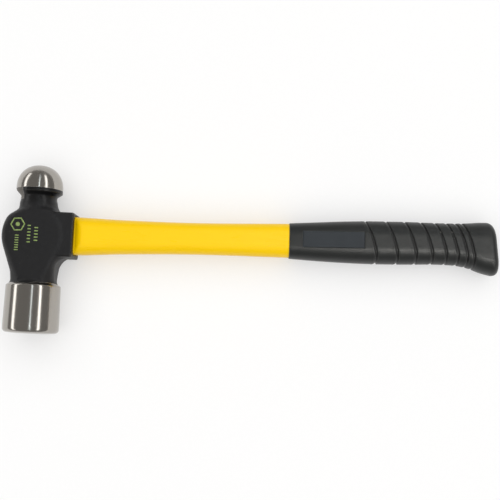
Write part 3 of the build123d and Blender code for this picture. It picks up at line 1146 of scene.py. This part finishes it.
# ---------- pieces
head_material = painted_steel("painted_steel", 0.0)
ground_material = painted_steel("ground_steel", 0.7)
head_points, head_faces = skin(
    head_distance,
    np.array([-FRONT_REACH, 0, -POLL_RADIUS]) - HEAD_MARGIN,
    np.array([COLLAR_END, HEAD_LENGTH, POLL_RADIUS]) + HEAD_MARGIN,
    CELL,
)
placed_points = head_points + (HEAD_X, FACE_Y, MIDDLE_Z)
head = make_piece("forged_head", placed_points, head_faces, head_material, "painted_steel", "head")
head.data.materials.append(ground_material)
face_heights = head_points[head_faces].mean(1)[:, 1]
ground = (face_heights < POLL_TOP - POLL_CLEARANCE) | (face_heights > BALL_LINE + BALL_CLEARANCE)
head.data.polygons.foreach_set("material_index", ground.astype(np.int32))
make_piece("moulded_jacket", *jacket_mesh(), yellow_plastic(), "yellow_plastic", "handle_jacket")
grip = make_piece("rubber_grip", *grip_mesh(), grip_rubber(), "grip_rubber", "grip")
make_piece("inset_panel", *panel_mesh(), panel_plastic(), "panel_plastic", "grip_panel")
make_piece("epoxy_plug", *epoxy_mesh(), epoxy_resin(), "epoxy_resin", "eye_epoxy")
make_piece("cheek_print", *plates(print_outlines(), PRINT_THICKNESS), print_ink(), "painted_steel")
for node, material in (("handle_core", fibreglass()), ("eye_seal", seal_foam())):
    cad_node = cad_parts[node]
    if not cad_node.material_slots:
        cad_node.data.materials.append(material)
    for material_slot in cad_node.material_slots:
        material_slot.material = material


# ---------- stage, lights and camera
def resting_floor():
    """A pale floor in the plane that the poll, the ball and the butt rest on."""
    reach, poll_end, ball_start = 0.03, 0.04, 0.11
    half_width, gap = 3.0, 0.00002
    points = np.concatenate([np.array([v.co for v in o.data.vertices]) for o in (head, grip)])
    x, y, z = points.T
    near_poll = (x < HEAD_X + reach) & (y < FACE_Y + poll_end)
    near_ball = (x < HEAD_X + reach) & (y > FACE_Y + ball_start)
    near_butt = x > cad_high.x - reach
    contacts = [points[near][z[near].argmin()] for near in (near_poll, near_ball, near_butt)]
    normal = np.cross(contacts[2] - contacts[0], contacts[1] - contacts[0])
    normal /= np.linalg.norm(normal) * np.sign(normal[2])
    height = ((points - contacts[0]) @ normal).min()
    base = contacts[0] + normal * (height - gap)
    places = []
    for side in ((1, 1, 0), (-1, 1, 0), (-1, -1, 0), (1, -1, 0)):
        level = half_width * np.array(side)
        places.append(base + level - UP * (level @ normal) / normal[2])
    mesh = bpy.data.meshes.new("floor")
    mesh.from_pydata([tuple(p) for p in places], [], [(0, 1, 2, 3)])
    mesh.materials.append(studio_floor())
    add_object("floor", mesh)


def soft_box(name, toward, distance, size, radiance, colour=(1, 1, 1), mirrored=True):
    """A soft light seen only in reflections, or one that only lights matt surfaces.

    Its size is (width, length), and its length runs along the head.
    """
    light = bpy.data.lights.new(name, "AREA")
    light.shape = "RECTANGLE"
    light.size, light.size_y = size
    light.energy = radiance * math.pi * size[0] * size[1]
    light.color = colour
    lamp = add_object(name, light)
    side, lengthwise = (math.radians(a) for a in toward)
    across = math.cos(lengthwise)
    back = Vector((math.sin(side) * across, math.sin(lengthwise), math.cos(side) * across))
    centre = Vector((HEAD_X, 0, MIDDLE_Z)) + back * distance
    length_axis = (Vector((0, 1, 0)) - back * back.y).normalized()
    turn = Matrix((length_axis.cross(back), length_axis, back)).transposed()
    lamp.matrix_world = Matrix.Translation(centre) @ turn.to_4x4()
    lamp.visible_camera = False
    lamp.visible_glossy = mirrored
    lamp.visible_diffuse = not mirrored
    return lamp


def studio():
    """A large even light from above, and soft boxes that draw the long streaks on the steel."""
    scene = bpy.context.scene
    world = bpy.data.worlds.new("studio")
    scene.world = world
    world.use_nodes = True
    nodes, links = world.node_tree.nodes, world.node_tree.links
    room, backdrop = nodes["Background"], nodes.new("ShaderNodeBackground")
    room.inputs["Color"].default_value = (1, 0.975, 0.945, 1)
    room.inputs["Strength"].default_value = 0.285
    backdrop.inputs["Color"].default_value = (1, 1, 1, 1)
    backdrop.inputs["Strength"].default_value = 0.9
    seen = nodes.new("ShaderNodeLightPath")
    either = nodes.new("ShaderNodeMixShader")
    links.new(seen.outputs["Is Camera Ray"], either.inputs[0])
    links.new(room.outputs[0], either.inputs[1])
    links.new(backdrop.outputs[0], either.inputs[2])
    links.new(either.outputs[0], nodes["World Output"].inputs["Surface"])
    soft_box("fill_above", (6, 0), 2.4, (7.0, 7.0), 1.2, mirrored=False)
    soft_box("key_left", (-64.5, 8), 1.3, (0.28, 2.8), 2.8)
    soft_box("key_right", (44, 10), 1.4, (0.23, 3.0), 3.3)
    soft_box("thin_top", (9, 8), 1.4, (0.055, 2.6), 4.8, (0.84, 0.94, 1.0))
    glow = soft_box("grip_glow", (26, -14), 1.4, (0.5, 0.4), 15.0, (1.0, 0.97, 0.92))
    lit_by_glow = bpy.data.collections.new("lit_by_glow")
    lit_by_glow.objects.link(grip)
    glow.light_linking.receiver_collection = lit_by_glow
    soft_box("warm_right", (92, 0), 1.2, (0.2, 2.2), 0.8, (1.0, 0.95, 0.88))
    scene.view_settings.view_transform = "Standard"
    scene.view_settings.look = "None"


def camera():
    """Almost straight above, far enough for the perspective of a product photograph."""
    distance, tilt, roll = 0.750, (-5.5, -0.3), -2.597
    aim = (0.000191, 0.00699)
    focal_length = 67.5378
    turn = (
        Matrix.Rotation(math.radians(roll), 3, "Z")
        @ Matrix.Rotation(math.radians(tilt[1]), 3, "Y")
        @ Matrix.Rotation(math.radians(tilt[0]), 3, "X")
    ).transposed()
    data = bpy.data.cameras.new("camera")
    data.sensor_width = 36.0
    data.lens = focal_length
    eye = add_object("camera", data)
    place_of_eye = Vector((0, 0, MIDDLE_Z)) + turn @ Vector((*aim, distance))
    eye.matrix_world = Matrix.Translation(place_of_eye) @ turn.to_4x4()
    bpy.context.scene.camera = eye


resting_floor()
studio()
camera()
